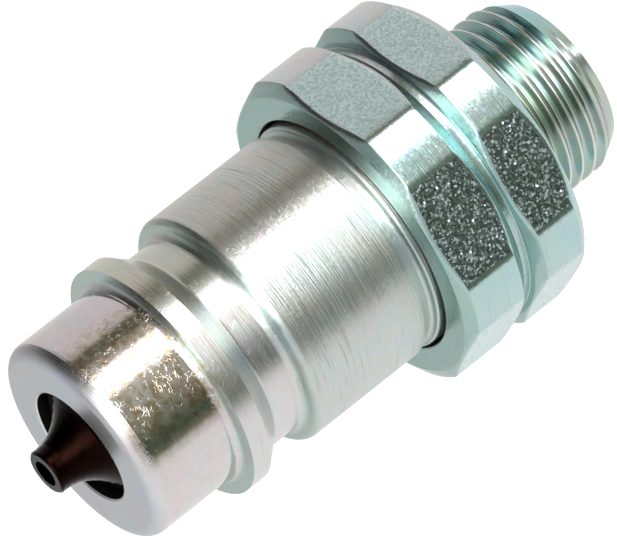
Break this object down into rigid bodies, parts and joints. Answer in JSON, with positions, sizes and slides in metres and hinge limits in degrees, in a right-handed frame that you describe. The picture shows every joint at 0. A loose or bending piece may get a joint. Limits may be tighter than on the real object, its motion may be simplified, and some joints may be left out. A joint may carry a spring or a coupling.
{
  "type": "fluid quick coupling plug",
  "caption": "Plug half of a poppet-valve quick coupling for a liquid line, with a ball-lock groove on its nose, a double hexagon and a threaded tube port.",
  "frame": {"origin": "centre of the port's end face, on which the part stands", "axes": "+Z along the axis towards the nose; +Y square to two flats of the hexagon"},
  "size_m": [0.032, 0.03, 0.0609],
  "materials": {
    "zinc_body": "zinc plated and clear passivated, fine turned",
    "zinc_hex": "zinc plated and clear passivated, turned ends and coarse drawn flats",
    "burnished_steel": "burnished and oiled, glossy",
    "black_rubber": "smooth nitrile",
    "spring_wire": "drawn spring wire",
    "guide_steel": "zinc plated",
    "ring_steel": "phosphated spring steel",
    "backup_plastic": "smooth"
  },
  "bodies": {
    "body": {"plug_body": "zinc_body", "hex_body": "zinc_hex", "spring_guide": "guide_steel", "retaining_ring": "ring_steel", "body_o_ring": "black_rubber", "backup_ring": "backup_plastic", "spring": "spring_wire"},
    "valve": {"poppet": "burnished_steel", "poppet_seal": "black_rubber"}
  },
  "joints": [
    {"name": "poppet_slide", "type": "slide", "parent": "body", "child": "valve", "axis": [0, 0, -1], "range_m": [0, 0.006], "stiffness_N_per_m": 2330, "springref_m": -0.0002, "deforming": ["spring"]}
  ]
}
